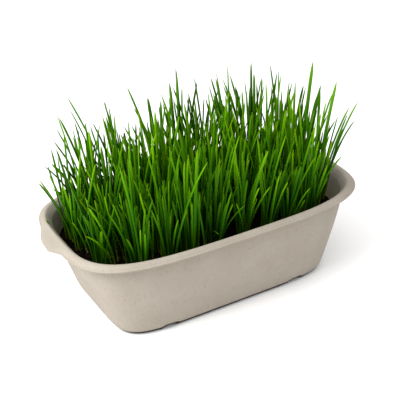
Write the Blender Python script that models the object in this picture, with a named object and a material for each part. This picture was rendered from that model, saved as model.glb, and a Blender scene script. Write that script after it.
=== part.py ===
"""Wheatgrass growing in an oblong moulded-fibre tray: the tray, its soil and the grass in tufts.

The origin is the middle of the tray's flat underside, +X runs along the tray and +Z is up.
"""

import math
import random

import bmesh
import bpy
import numpy as np
from mathutils import Vector

MM = 0.001

# Tray: the rim's inner edge is the widest opening, and the wall tapers to the base outline.
TRAY_HEIGHT = 77 * MM
RIM_HALF = (126 * MM, 66.2 * MM)
RIM_EXPONENT = 3.7
BASE_HALF = (100 * MM, 56.3 * MM)
BASE_EXPONENT = 6
WALL_TOP_HALF = (122 * MM, 63.6 * MM)
WALL_TOP_DROP = 6 * MM
WALL_THICKNESS = 2.4 * MM
FLOOR_THICKNESS = 3 * MM
FLOOR_RADIUS = 5 * MM
# The wall's lower edge stops short of the surface, and the flat underside is set in from it.
EDGE_LIFT = 2.2 * MM
UNDERSIDE_INSET = 2.4 * MM
# Two air channels cross the underside and lift the wall's lower edge at each long side.
CHANNEL_X = 61 * MM
CHANNEL_WIDTHS = (15 * MM, 9 * MM)
CHANNEL_HEIGHT = 4.6 * MM
CHANNEL_ROOF = 2.4 * MM
RIB_INSET = 1.9 * MM
# The -X end has a grip tab, a widening of the rim's outer lip.
TAB_REACH = 5.0 * MM
TAB_HALF_FLAT = 7.0 * MM
TAB_HALF_FOOT = 15.5 * MM

# The rim's section at the ends: (offset out from the rim's inner edge, drop below the tray's height).
RIM_TOP = ((-2.6, 3.9), (-0.9, 1.6), (0.4, 0.4), (1.8, 0.0), (3.8, 0.4), (5.9, 1.7), (6.8, 2.8), (8.3, 3.0))
RIM_UNDER = ((8.3, 4.4), (6.6, 4.6), (4.4, 3.6), (1.6, 3.6))
# The long sides have a narrower rim, this share of its width at the ends.
LONG_SIDE_SHARE = 0.64
# Rim points from this offset outwards take part in the tab.
TAB_FROM = 6.5

# Soil and grass
SOIL_TOP = 54 * MM
SOIL_GAP = 0.35 * MM
SOIL_SHARES = (1.0, 0.84, 0.64, 0.43, 0.22)
SOIL_SIDES = 40
TUFT_ROWS = (-47, -28, -9.5, 9.5, 28, 47)
TUFT_SPACING = 26 * MM
TUFTS_IN_ROW = (8, 9, 8, 9, 9, 8)
TUFT_JITTER = (3.4 * MM, 1.4 * MM)
ROW_END_PULL = 0.885
CROWN_SIDES = 5
CROWN_RADIUS = 7.4 * MM
CROWN_FOOT_RADIUS = 4.6 * MM
CROWN_DEPTH = 16 * MM
CROWN_RISE = 1.6 * MM
HOLE_GAP = 0.5 * MM
HOLE_OPEN = 6 * MM
BLADES_PER_TUFT = 11
BLADE_SPREAD = 4.9 * MM
BLADE_ROOT = 4 * MM
BLADE_LENGTH = 89 * MM
BLADE_KEEL = 1.2 * MM
BLADE_NARROWEST = 2.1 * MM
BLADE_WIDEST = 3.4 * MM
# Where along a blade its width is set, and that width's share of the widest.
BLADE_STATIONS = (0.0, 0.45, 0.9)
BLADE_WIDTHS = (0.52, 1.0, 0.82)
BLADE_CLEARANCE = 0.75 * MM
# Leans are slopes. The grass splays outwards, more so at the ends, and each blade strays from that,
# the shortest most and the longest least.
SPLAY = (0.065, 0.08)
DRIFT = -0.033
STRAYS = (0.27, 0.16)
ROOT_SHARE = 0.45
CURL = 0.13
LENGTH_SHARES = (0.55, 1.28)
# The grass is shorter towards the -X end: this share of its length there, and all of it this far in.
LOW_END_SHARE = 0.76
LOW_END_REACH = 80 * MM
# Blades that stand out from the rest, by their tuft: slope of the tip from the root, length and width.
STANDOUT = {
    8: (0.27, -0.23, 66 * MM, 2.8 * MM),
    15: (0.33, -0.26, 63 * MM, 4.0 * MM),
    17: (0.07, -0.06, 116 * MM, 3.1 * MM),
    23: (0.22, -0.16, 64 * MM, 3.6 * MM),
    25: (0.03, -0.03, 127 * MM, 4.4 * MM),
    35: (-0.34, 0.13, 60 * MM, 2.5 * MM),
    36: (-0.22, 0.09, 109 * MM, 2.7 * MM),
    44: (-0.39, 0.15, 65 * MM, 3.9 * MM),
    45: (-0.27, 0.11, 114 * MM, 2.9 * MM),
    47: (-0.21, 0.11, 111 * MM, 3.0 * MM),
    48: (-0.02, 0.02, 113 * MM, 3.3 * MM),
    49: (0.25, -0.16, 72 * MM, 3.8 * MM),
    51: (-0.02, 0.01, 110 * MM, 3.2 * MM),
}
SHORTENED = 0.8
MOST_TWIST = 0.9
SLICE_STEP = 3 * MM
TALLEST = 175 * MM
MOST_TRIES = 140
NEIGHBOURS = 80 * MM
WIDTH_SHARE = 0.12
GOLDEN_ANGLE = 2.4
SEED = 12

# Names and colours
COLOURS = {
    "fibre": ((0.70, 0.63, 0.53, 1), 0.75),
    "soil": ((0.035, 0.022, 0.014, 1), 0.95),
    "grass": ((0.09, 0.27, 0.01, 1), 0.5),
}


def clear_scene():
    for old in list(bpy.data.objects):
        bpy.data.objects.remove(old, do_unlink=True)


def material(name):
    colour, roughness = COLOURS[name]
    made = bpy.data.materials.get(name) or bpy.data.materials.new(name)
    made.use_nodes = True
    shader = made.node_tree.nodes["Principled BSDF"]
    shader.inputs["Base Color"].default_value = colour
    shader.inputs["Roughness"].default_value = roughness
    made.diffuse_color = colour
    return made


def new_object(name, verts, faces, material_name):
    mesh = bpy.data.meshes.new(name)
    mesh.from_pydata([tuple(v) for v in verts], [], faces)
    made = bpy.data.objects.new(name, mesh)
    bpy.context.scene.collection.objects.link(made)
    made.data.materials.append(material(material_name))
    return made


# The tray's plan is a superellipse, which is an oblong with bowed sides and round corners.

END_SHARES = (0.0, 0.05, 0.098, 0.158, 0.218, 0.3, 0.42)
CORNER_STEPS = 8


def plan_angles():
    """Angles round the plan, close together across the ends, where the tab is."""
    quarter = [math.asin(share ** (RIM_EXPONENT / 2)) for share in END_SHARES]
    last = quarter[-1]
    quarter += [last + (math.pi / 2 - last) * k / CORNER_STEPS for k in range(1, CORNER_STEPS)]
    half = quarter + [math.pi / 2] + [math.pi - a for a in reversed(quarter)]
    return half + [math.pi + a for a in half[1:-1]]


ANGLES = plan_angles()


def superellipse(half, exponent, angles=None):
    """Points of a superellipse with these half sizes, as (x, y)."""
    def side(value, size):
        return math.copysign(size * abs(value) ** (2 / exponent), value)
    return [(side(math.cos(a), half[0]), side(math.sin(a), half[1])) for a in angles or ANGLES]


def inner_share(z):
    """How far up the wall z lies, from 0 at the base outline to 1 where the rim starts to curl out."""
    return min(1.0, max(0.0, (z - EDGE_LIFT) / (TRAY_HEIGHT - WALL_TOP_DROP - EDGE_LIFT)))


def wall_plan(z, out=0.0):
    """Half sizes and exponent of the wall's inner face at height z, moved out by this much."""
    share = inner_share(z)
    half = [b - WALL_THICKNESS + (r - b + WALL_THICKNESS) * share + out for b, r in zip(BASE_HALF, WALL_TOP_HALF)]
    return half, BASE_EXPONENT + (RIM_EXPONENT - BASE_EXPONENT) * share


def tab_share(y):
    """1 across the tab's flat end, falling smoothly to 0 at its foot."""
    t = (TAB_HALF_FOOT - abs(y)) / (TAB_HALF_FOOT - TAB_HALF_FLAT)
    t = min(1.0, max(0.0, t))
    return t * t * (3 - 2 * t)


def wall_ring(z, out=0.0):
    half, exponent = wall_plan(z, out)
    return [(x, y, z) for x, y in superellipse(half, exponent)]


def rim_ring(offset, drop):
    half = (RIM_HALF[0] + offset * MM, RIM_HALF[1] + offset * LONG_SIDE_SHARE * MM)
    z = TRAY_HEIGHT - drop * MM
    ring = []
    for x, y in superellipse(half, RIM_EXPONENT):
        if offset >= TAB_FROM and x < 0:
            x -= TAB_REACH * tab_share(y)
        ring.append((x, y, z))
    return ring


def base_ring(inset, z):
    return [(x, y, z) for x, y in superellipse([b - inset for b in BASE_HALF], BASE_EXPONENT)]


def loft(name, rings, material_name):
    """A closed solid through these rings, with its first and last ring capped by a fan."""
    count = len(rings[0])
    verts = [p for ring in rings for p in ring]
    faces = []
    for k in range(len(rings) - 1):
        for i in range(count):
            j = (i + 1) % count
            faces.append((k * count + i, k * count + j, (k + 1) * count + j, (k + 1) * count + i))
    for ring, order in ((0, -1), (len(rings) - 1, 1)):
        z = rings[ring][0][2]
        centre = len(verts)
        verts.append((0.0, 0.0, z))
        for i in range(count):
            edge = (ring * count + i, ring * count + (i + 1) % count)
            faces.append((*edge[::order], centre))
    made = new_object(name, verts, faces, material_name)
    outward(made)
    return made


def outward(obj):
    """Turns every face of a closed mesh outwards."""
    mesh = bmesh.new()
    mesh.from_mesh(obj.data)
    bmesh.ops.recalc_face_normals(mesh, faces=mesh.faces)
    mesh.to_mesh(obj.data)
    mesh.free()


def boolean(obj, operation, other=None, collection=None):
    """Applies one Boolean to obj and removes what it was cut or joined with."""
    modifier = obj.modifiers.new(operation.lower(), "BOOLEAN")
    modifier.operation = operation
    modifier.solver = "EXACT"
    if collection is None:
        modifier.object = other
        gone = [other]
    else:
        modifier.operand_type = "COLLECTION"
        modifier.collection = collection
        gone = list(collection.objects)
    bpy.context.view_layer.update()
    graph = bpy.context.evaluated_depsgraph_get()
    result = bpy.data.meshes.new_from_object(obj.evaluated_get(graph))
    obj.modifiers.clear()
    obj.data = result
    for used in gone:
        bpy.data.objects.remove(used, do_unlink=True)
    if collection is not None:
        bpy.data.collections.remove(collection)


def cross_bar(name, x, widths, z_low, z_high, half_length):
    """A bar across the tray with sloping sides: widths are its foot's and its top's."""
    foot, top = (w / 2 for w in widths)
    section = [(x - foot, z_low), (x + foot, z_low), (x + top, z_high), (x - top, z_high)]
    verts = [(px, y, pz) for y in (-half_length, half_length) for px, pz in section]
    faces = [(0, 1, 2, 3), (7, 6, 5, 4), (0, 4, 5, 1), (1, 5, 6, 2), (2, 6, 7, 3), (3, 7, 4, 0)]
    made = new_object(name, verts, faces, "fibre")
    outward(made)
    return made


def rib_bar(name, x, grow):
    """The raised floor over one air channel, grown on all sides."""
    widths = [w + 2 * (CHANNEL_ROOF + grow) for w in CHANNEL_WIDTHS]
    half_length = BASE_HALF[1] - RIB_INSET + grow
    return cross_bar(name, x, widths, EDGE_LIFT + 0.1 * MM, CHANNEL_HEIGHT + CHANNEL_ROOF + grow, half_length)


def make_tray():
    inside = [
        base_ring(WALL_THICKNESS + FLOOR_RADIUS, FLOOR_THICKNESS),
        wall_ring(FLOOR_THICKNESS + FLOOR_RADIUS * 0.3, -FLOOR_RADIUS * 0.3),
        wall_ring(FLOOR_THICKNESS + FLOOR_RADIUS),
        wall_ring(TRAY_HEIGHT * 0.5),
        wall_ring(TRAY_HEIGHT - WALL_TOP_DROP),
    ]
    rim = [rim_ring(offset, drop) for offset, drop in RIM_TOP + RIM_UNDER]
    outside = [
        wall_ring(TRAY_HEIGHT - WALL_TOP_DROP - 0.4 * MM, WALL_THICKNESS),
        wall_ring(TRAY_HEIGHT * 0.5, WALL_THICKNESS),
        wall_ring(EDGE_LIFT + 2.2 * MM, WALL_THICKNESS),
        base_ring(0.5 * MM, EDGE_LIFT + 0.5 * MM),
        base_ring(1.6 * MM, EDGE_LIFT),
        base_ring(UNDERSIDE_INSET, EDGE_LIFT),
        base_ring(UNDERSIDE_INSET + 0.6 * MM, 0.0),
    ]
    tray = loft("tray", inside + rim + outside, "fibre")
    for side in (-1, 1):
        x = side * CHANNEL_X
        boolean(tray, "UNION", rib_bar("rib", x, 0.0))
        past_wall = BASE_HALF[1] + 9 * MM
        boolean(tray, "DIFFERENCE", cross_bar("channel", x, CHANNEL_WIDTHS, -2 * MM, CHANNEL_HEIGHT, past_wall))
    return tray


def soil_height(x, y):
    """The soil's uneven top."""
    u, v = x / MM, y / MM
    waves = math.sin(u * 0.11 + 0.7) * math.cos(v * 0.16) + 0.6 * math.sin(u * 0.31 - v * 0.27)
    return SOIL_TOP + 0.9 * MM * waves + 0.5 * MM * math.sin(u * 0.83 + v * 0.71)


def make_soil(tufts):
    low = FLOOR_THICKNESS + SOIL_GAP
    shoulder = low + FLOOR_RADIUS + 1 * MM
    around = [math.tau * k / SOIL_SIDES for k in range(SOIL_SIDES)]
    inset = WALL_THICKNESS + FLOOR_RADIUS + 1.2 * MM
    foot = superellipse([b - inset for b in BASE_HALF], BASE_EXPONENT, around)
    side = superellipse(*wall_plan(shoulder, -SOIL_GAP), around)
    rings = [[(x, y, low) for x, y in foot], [(x, y, shoulder) for x, y in side]]
    half, exponent = wall_plan(SOIL_TOP, -SOIL_GAP - 0.5 * MM)
    for share in SOIL_SHARES:
        plan = superellipse([h * share for h in half], exponent, around)
        rings.append([(x, y, soil_height(x, y)) for x, y in plan])
    soil = loft("soil", rings, "soil")
    for side in (-1, 1):
        boolean(soil, "DIFFERENCE", rib_bar("rib_room", side * CHANNEL_X, SOIL_GAP))
    holes = bpy.data.collections.new("holes")
    bpy.context.scene.collection.children.link(holes)
    for k, (x, y) in enumerate(tufts):
        hole = crown(f"hole_{k}", x, y, HOLE_GAP, HOLE_OPEN)
        bpy.context.scene.collection.objects.unlink(hole)
        holes.objects.link(hole)
    boolean(soil, "DIFFERENCE", collection=holes)
    return soil


def tuft_centres():
    """Staggered rows of tufts over the soil, each moved a little at random."""
    draw = random.Random(SEED)
    centres = []
    for y, count in zip(TUFT_ROWS, TUFTS_IN_ROW):
        pull = 1 - (1 - ROW_END_PULL) * (abs(y) / max(TUFT_ROWS)) ** 3
        for k in range(count):
            x = (k - (count - 1) / 2) * TUFT_SPACING * pull
            jitter = [draw.uniform(-most, most) for most in TUFT_JITTER]
            centres.append((x + jitter[0], y * MM + jitter[1]))
    return centres


def crown(name, x, y, grow=0.0, above=0.0):
    """The short root crown that a tuft's blades grow from. Grown, it is the hole that it stands in."""
    top = soil_height(x, y) + CROWN_RISE
    flare = (CROWN_RADIUS - CROWN_FOOT_RADIUS) / CROWN_DEPTH
    low = (CROWN_FOOT_RADIUS + grow - flare * grow, top - CROWN_DEPTH - grow)
    high = (CROWN_RADIUS + grow + flare * above, top + above)
    turns = [math.tau * k / CROWN_SIDES for k in range(CROWN_SIDES)]
    rings = [[(x + r * math.cos(a), y + r * math.sin(a), z) for a in turns] for r, z in (low, high)]
    verts = rings[0] + rings[1]
    sides = [(k, (k + 1) % CROWN_SIDES, CROWN_SIDES + (k + 1) % CROWN_SIDES, CROWN_SIDES + k)
             for k in range(CROWN_SIDES)]
    caps = [tuple(range(CROWN_SIDES))[::-1], tuple(range(CROWN_SIDES, 2 * CROWN_SIDES))]
    return new_object(name, verts, sides + caps, "grass")


def low_end(x):
    """The share of their length that blades rooted at x have."""
    return LOW_END_SHARE + (1 - LOW_END_SHARE) * min(1.0, (x + RIM_HALF[0]) / LOW_END_REACH)


class Blade:
    """One leaf blade: a keeled ribbon that starts upright, leans and bends one way, and ends in a point."""

    def __init__(self, draw, x, y, top, short, standout=None):
        self.root = Vector((x, y, top - BLADE_ROOT))
        share = draw.random()
        length_share = LENGTH_SHARES[0] + (LENGTH_SHARES[1] - LENGTH_SHARES[0]) * share
        self.length = BLADE_LENGTH * length_share * low_end(x) * (SHORTENED if short else 1)
        stray = STRAYS[0] + (STRAYS[1] - STRAYS[0]) * share
        spread = Vector((x / RIM_HALF[0] * SPLAY[0] + DRIFT, y / RIM_HALF[1] * SPLAY[1]))
        lean = spread + Vector((draw.triangular(-stray, stray), draw.triangular(-stray, stray)))
        curl = Vector((draw.triangular(-CURL, CURL), draw.triangular(-CURL, CURL)))
        self.width = draw.uniform(BLADE_NARROWEST, BLADE_WIDEST)
        if standout:
            *slope, self.length, self.width = standout
            lean, curl = Vector(slope), Vector((0, 0))
        self.lean = lean * ROOT_SHARE
        self.bend = lean * (1 - ROOT_SHARE) + curl
        self.facing = draw.uniform(0, math.pi)
        self.twist = draw.uniform(-MOST_TWIST, MOST_TWIST)

    def slope(self, s):
        return self.lean + self.bend * s

    def centre(self, s):
        slope = self.slope(s)
        rise = math.sqrt(max(0.1, 1 - slope.length_squared))
        return self.root + Vector((slope.x, slope.y, rise)) * (self.length * s)

    def width_way(self, s):
        angle = self.facing + self.twist * max(0.0, s - BLADE_STATIONS[1])
        return Vector((math.cos(angle), math.sin(angle), 0))

    def half_width(self, s):
        return float(np.interp(s, (*BLADE_STATIONS, 1.0), (*BLADE_WIDTHS, 0.0))) * self.width / 2

    def slices(self, heights):
        """Three points across the blade at each height, as an array, with NaN past the tip."""
        shares = (*BLADE_STATIONS, 1.0)
        centres = np.array([self.centre(s) for s in shares])
        reach = np.array([self.width_way(s) * self.half_width(s) for s in shares])
        found = np.full((len(heights), 3, 2), np.nan)
        inside = heights <= centres[-1, 2]
        for k, side in enumerate((-0.8, 0.0, 0.8)):
            line = centres + reach * side
            for axis in (0, 1):
                found[inside, k, axis] = np.interp(heights[inside], centres[:, 2], line[:, axis])
        return found

    def solid(self, name):
        """The blade as a bar of three sides. Each ring lies level, so the untwisted first band is flat."""
        verts = []
        for s, share in zip(BLADE_STATIONS, BLADE_WIDTHS):
            centre, way, half = self.centre(s), self.width_way(s), self.half_width(s)
            back = Vector((-way.y, way.x, 0))
            verts += [centre - way * half, centre + way * half, centre + back * BLADE_KEEL * share]
        verts.append(self.centre(1.0))
        faces = [(2, 1, 0)] + [(i, (i + 1) % 3, (i + 1) % 3 + 3, i + 3) for i in range(3)]
        rings = len(BLADE_STATIONS)
        for k in range(1, rings - 1):
            low, high = 3 * k, 3 * k + 3
            for i in range(3):
                j = (i + 1) % 3
                faces += [(low + i, low + j, high + j), (low + i, high + j, high + i)]
        last = 3 * (rings - 1)
        faces += [(last + i, last + (i + 1) % 3, 3 * rings) for i in range(3)]
        return new_object(name, verts, faces, "grass")


def inside_tray(points, heights):
    """True if the sliced blade stays clear of the tray's wall and rim."""
    for z, across in zip(heights, points):
        if z > TRAY_HEIGHT + 3 * MM or np.isnan(across[0, 0]):
            break
        half, exponent = wall_plan(z, -1.6 * MM)
        share = (np.abs(across[:, 0]) / half[0]) ** exponent + (np.abs(across[:, 1]) / half[1]) ** exponent
        if share.max() > 1:
            return False
    return True


def grow_blades(tufts):
    """Draws the blades one to a tuft at a time, and redraws any that would touch one that stands."""
    draw = random.Random(SEED + 1)
    heights = np.arange(SOIL_TOP + 2.5 * MM, SOIL_TOP + TALLEST, SLICE_STEP)
    standing = np.full((BLADES_PER_TUFT * len(tufts), len(heights), 3, 2), np.nan)
    widths = np.zeros(len(standing))
    count = 0
    blades = [[] for _ in tufts]
    standouts_first = sorted(range(len(tufts)), key=lambda tuft: tuft + 1 not in STANDOUT)
    for turn in range(BLADES_PER_TUFT):
        for tuft in standouts_first:
            x, y = tufts[tuft]
            standout = STANDOUT.get(tuft + 1) if turn == 0 else None
            angle = turn * GOLDEN_ANGLE + tuft
            radius = BLADE_SPREAD * math.sqrt((turn + 0.5) / BLADES_PER_TUFT)
            root = (x + radius * math.cos(angle), y + radius * math.sin(angle))
            for attempt in range(MOST_TRIES):
                short = attempt > MOST_TRIES / 2
                blade = Blade(draw, *root, soil_height(x, y) + CROWN_RISE, short, standout)
                points = blade.slices(heights)
                stand = (standing[:count], widths[:count])
                if inside_tray(points, heights) and clear_of(points, blade.width, *stand):
                    standing[count], widths[count] = points, blade.width
                    count += 1
                    blades[tuft].append(blade)
                    break
    return blades


def clear_of(points, width, standing, widths):
    """True if the sliced blade keeps its distance from every blade that stands."""
    high = int(np.isfinite(points[:, 1, 0]).sum())
    near = ((standing[:, 0, 1] - points[0, 1]) ** 2).sum(-1) < NEIGHBOURS**2
    others, widths = standing[near, :high], widths[near]
    middles = ((others[:, :, 1] - points[:high, 1]) ** 2).sum(-1)
    if (middles < BLADE_CLEARANCE**2).any():
        return False
    close = (middles < (3 * BLADE_WIDEST) ** 2).any(axis=1)
    gaps = ((others[close][:, :, :, None] - points[None, :high, None, :]) ** 2).sum(-1)
    need = (widths[close] + width) * WIDTH_SHARE + BLADE_CLEARANCE
    return not (gaps < need[:, None, None, None] ** 2).any()


def make_tuft(name, x, y, blades):
    tuft = crown(name, x, y)
    leaves = bpy.data.collections.new("leaves")
    bpy.context.scene.collection.children.link(leaves)
    for k, blade in enumerate(blades):
        leaf = blade.solid(f"leaf_{k}")
        outward(leaf)
        bpy.context.scene.collection.objects.unlink(leaf)
        leaves.objects.link(leaf)
    boolean(tuft, "UNION", collection=leaves)
    return tuft


def main():
    clear_scene()
    tufts = tuft_centres()
    make_tray()
    make_soil(tufts)
    for k, ((x, y), blades) in enumerate(zip(tufts, grow_blades(tufts))):
        make_tuft(f"grass_tuft_{k + 1:02d}", x, y, blades)


main()
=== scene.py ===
"""The dressed wheatgrass tray: fine leaves, crumbly soil and a moulded-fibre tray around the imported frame."""
import math
import random

import bmesh
import bpy
import numpy as np
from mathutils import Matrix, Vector, noise


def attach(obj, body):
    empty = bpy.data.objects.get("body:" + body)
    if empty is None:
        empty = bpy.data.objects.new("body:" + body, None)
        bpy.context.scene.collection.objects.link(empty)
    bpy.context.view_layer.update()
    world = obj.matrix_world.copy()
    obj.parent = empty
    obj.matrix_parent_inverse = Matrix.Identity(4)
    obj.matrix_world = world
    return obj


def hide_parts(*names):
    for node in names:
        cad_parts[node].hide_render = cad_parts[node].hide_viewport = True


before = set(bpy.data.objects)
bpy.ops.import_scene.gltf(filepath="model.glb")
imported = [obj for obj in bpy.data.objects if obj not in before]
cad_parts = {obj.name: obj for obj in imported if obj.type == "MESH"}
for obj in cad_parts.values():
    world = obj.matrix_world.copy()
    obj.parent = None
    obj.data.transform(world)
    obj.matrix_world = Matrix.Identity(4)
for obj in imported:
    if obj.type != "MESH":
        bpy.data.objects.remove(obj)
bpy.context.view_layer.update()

MM = 0.001

# Sizes that the solids were made from, repeated so that each finer piece keeps their form.
TRAY_HEIGHT = 77 * MM
RIM_HALF = (126 * MM, 66.2 * MM)
RIM_EXPONENT = 3.7
BASE_HALF = (100 * MM, 56.3 * MM)
BASE_EXPONENT = 6
WALL_TOP_HALF = (122 * MM, 63.6 * MM)
WALL_TOP_DROP = 6 * MM
WALL_THICKNESS = 2.4 * MM
FLOOR_THICKNESS = 3 * MM
FLOOR_RADIUS = 5 * MM
EDGE_LIFT = 2.2 * MM
UNDERSIDE_INSET = 2.4 * MM
CHANNEL_X = 61 * MM
CHANNEL_WIDTHS = (15 * MM, 9 * MM)
CHANNEL_HEIGHT = 4.6 * MM
CHANNEL_ROOF = 2.4 * MM
RIB_INSET = 1.9 * MM
TAB_REACH = 6.6 * MM
TAB_FLAT = (-8 * MM, 5 * MM)
TAB_FOOT = (-15.5 * MM, 32 * MM)
TAB_END_SHARES = (0.9, 0.68)
TAB_END_BETWEEN = (-10 * MM, 15 * MM)
TAB_FROM = 6.5
TAB_BLEND = 1.6
LONG_SIDE_SHARE = 0.64
SOIL_TOP = 54 * MM
SOIL_GAP = 0.35 * MM
SOIL_INSET = SOIL_GAP + 0.5 * MM
TUFT_ROWS = (-47, -28, -9.5, 9.5, 28, 47)
TUFT_SPACING = 26 * MM
TUFTS_IN_ROW = (8, 9, 8, 9, 9, 8)
TUFT_JITTER = (3.4 * MM, 1.4 * MM)
ROW_END_PULL = 0.885
CROWN_RISE = 1.6 * MM
BLADES_PER_TUFT = 11
BLADE_SPREAD = 4.9 * MM
BLADE_ROOT = 4 * MM
BLADE_LENGTH = 89 * MM
BLADE_KEEL = 1.2 * MM
BLADE_NARROWEST = 2.1 * MM
BLADE_WIDEST = 3.4 * MM
BLADE_STATIONS = (0.0, 0.45, 0.9)
BLADE_WIDTHS = (0.52, 1.0, 0.82)
BLADE_CLEARANCE = 0.75 * MM
BLADE_FROM_WALL = 1.6 * MM
SPLAY = (0.065, 0.08)
DRIFT = -0.033
STRAYS = (0.27, 0.16)
ROOT_SHARE = 0.45
CURL = 0.13
LENGTH_SHARES = (0.55, 1.28)
LOW_END_SHARE = 0.76
LOW_END_REACH = 80 * MM
STANDOUT = {
    8: (0.27, -0.23, 66 * MM, 2.8 * MM),
    15: (0.33, -0.26, 63 * MM, 4.0 * MM),
    17: (0.07, -0.06, 116 * MM, 3.1 * MM),
    23: (0.22, -0.16, 64 * MM, 3.6 * MM),
    25: (0.03, -0.03, 127 * MM, 4.4 * MM),
    35: (-0.34, 0.13, 60 * MM, 2.5 * MM),
    36: (-0.22, 0.09, 109 * MM, 2.7 * MM),
    44: (-0.39, 0.15, 65 * MM, 3.9 * MM),
    45: (-0.27, 0.11, 114 * MM, 2.9 * MM),
    47: (-0.21, 0.11, 111 * MM, 3.0 * MM),
    48: (-0.02, 0.02, 113 * MM, 3.3 * MM),
    49: (0.25, -0.16, 72 * MM, 3.8 * MM),
    51: (-0.02, 0.01, 110 * MM, 3.2 * MM),
}
SHORTENED = 0.8
MOST_TWIST = 0.9
SLICE_STEP = 3 * MM
SLICE_SIDES = (-0.8, 0.0, 0.8)
TALLEST = 175 * MM
MOST_TRIES = 140
NEIGHBOURS = 80 * MM
WIDTH_SHARE = 0.12
GOLDEN_ANGLE = 2.4
SEED = 12


# Shader helpers

def shader_nodes(name, roughness, **inputs):
    """A new material and its Principled shader, with these socket values set on it."""
    made = bpy.data.materials.new(name)
    made.use_nodes = True
    shader = made.node_tree.nodes["Principled BSDF"]
    shader.inputs["Roughness"].default_value = roughness
    for key, value in inputs.items():
        shader.inputs[key.replace("_", " ")].default_value = value
    return made, shader


def node(tree, kind, links=None, **settings):
    """One shader node. A setting is a property, or the value of the input with that name."""
    made = tree.nodes.new("ShaderNode" + kind)
    for key, value in settings.items():
        name = key.replace("_", " ")
        if hasattr(made, key):
            setattr(made, key, value)
        else:
            made.inputs[name].default_value = value
    for socket, source in (links or {}).items():
        tree.links.new(source, made.inputs[socket])
    return made


def ramp(tree, fac, stops):
    made = tree.nodes.new("ShaderNodeValToRGB")
    tree.links.new(fac, made.inputs["Fac"])
    elements = made.color_ramp.elements
    while len(elements) < len(stops):
        elements.new(0.5)
    for element, (at, colour) in zip(elements, stops):
        element.position = at
        element.color = (*colour, 1)
    return made.outputs["Color"]


def blend_colours(tree, kind, fac, first, second):
    made = tree.nodes.new("ShaderNodeMix")
    made.data_type = "RGBA"
    made.blend_type = kind
    for socket, value in ((made.inputs[0], fac), (made.inputs[6], first), (made.inputs[7], second)):
        if isinstance(value, bpy.types.NodeSocket):
            tree.links.new(value, socket)
        elif isinstance(value, tuple):
            socket.default_value = (*value, 1)
        else:
            socket.default_value = value
    return made.outputs[2]


VEINS = 7
VEIN_SHADES = (0.86, 1.1)
PATCH_SHADES = (0.8, 1.2)
# Along each leaf: a pale foot, then painted shade that darkens the lower and middle part among the blades,
# lighter towards the tip.
LEAF_BY_LENGTH_WITH_SHADE = (
    (0.0, (0.15, 0.19, 0.016)), (0.10, (0.05, 0.11, 0.002)), (0.30, (0.015, 0.078, 0.0005)),
    (0.62, (0.031, 0.148, 0.0005)), (0.92, (0.088, 0.265, 0.001)), (1.0, (0.135, 0.30, 0.003)),
)
# A leaf's own tone drawn at random, spread wide enough to paint some leaves as lit and others as shaded.
LEAF_TONE_AND_LIGHT_BY_PICK = (
    (0.0, (0.32, 0.42, 0.7)), (0.35, (0.58, 0.66, 0.6)), (0.7, (1.0, 1.0, 0.9)), (1.0, (1.55, 1.32, 0.6)),
)


def leaf_material():
    """Green by its length, with painted shade low down, and by a tone of the leaf's own, spread to paint lit
    and shaded leaves, with veins along it and faint patches.
    """
    made, shader = shader_nodes("wheatgrass leaf", 0.55, Specular_IOR_Level=0.04)
    tree = made.node_tree
    tone = node(tree, "Attribute", attribute_name="tone")
    parts = node(tree, "SeparateColor", {"Color": tone.outputs["Color"]})
    pick, along, across = (parts.outputs[k] for k in ("Red", "Green", "Blue"))
    by_length = ramp(tree, along, LEAF_BY_LENGTH_WITH_SHADE)
    colour = blend_colours(tree, "MULTIPLY", 1.0, by_length, ramp(tree, pick, LEAF_TONE_AND_LIGHT_BY_PICK))
    veins = node(tree, "Math", {0: across}, operation="MULTIPLY")
    veins.inputs[1].default_value = 2 * math.pi * VEINS
    stripes = node(tree, "Math", {0: veins.outputs[0]}, operation="SINE")
    lit = node(
        tree, "MapRange", {"Value": stripes.outputs[0]},
        From_Min=-1, To_Min=VEIN_SHADES[0], To_Max=VEIN_SHADES[1])
    colour = blend_colours(tree, "MULTIPLY", 1.0, colour, lit.outputs[0])
    mottle = node(tree, "TexNoise", Scale=180.0, Detail=3.0)
    patch = node(
        tree, "MapRange", {"Value": mottle.outputs["Fac"]}, To_Min=PATCH_SHADES[0], To_Max=PATCH_SHADES[1])
    colour = blend_colours(tree, "MULTIPLY", 1.0, colour, patch.outputs[0])
    tree.links.new(colour, shader.inputs["Base Color"])
    bump = node(tree, "Bump", {"Height": stripes.outputs[0]}, Strength=0.25, Distance=0.0002)
    tree.links.new(bump.outputs[0], shader.inputs["Normal"])
    return made


def soil_material():
    made, shader = shader_nodes("potting soil", 0.95, Specular_IOR_Level=0.05)
    tree = made.node_tree
    place = node(tree, "TexCoord")
    grains = node(
        tree, "TexNoise", {"Vector": place.outputs["Object"]}, Scale=420.0, Detail=6.0, Roughness=0.7)
    clumps = node(tree, "TexVoronoi", {"Vector": place.outputs["Object"]}, Scale=260.0)
    colour = ramp(tree, grains.outputs["Fac"], (
        (0.3, (0.002, 0.0016, 0.0012)), (0.55, (0.007, 0.0048, 0.0034)),
        (0.66, (0.022, 0.013, 0.008)), (0.76, (0.045, 0.026, 0.014)),
    ))
    dark = ramp(tree, clumps.outputs["Distance"], ((0.0, (1.2, 1.15, 1.1)), (0.7, (0.45, 0.42, 0.4))))
    colour = blend_colours(tree, "MULTIPLY", 1.0, colour, dark)
    tree.links.new(colour, shader.inputs["Base Color"])
    bump = node(tree, "Bump", {"Height": grains.outputs["Fac"]}, Strength=0.8, Distance=0.0012)
    tree.links.new(bump.outputs[0], shader.inputs["Normal"])
    return made


# Painted light: green light bounced from the leaves, tinting the inner wall more the lower it goes.
INSIDE_PAINTED_BOUNCE = (1.0, 0.97, 0.74)
BOUNCE_FROM = 5 * MM
BOUNCE_FADE = 20 * MM
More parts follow.
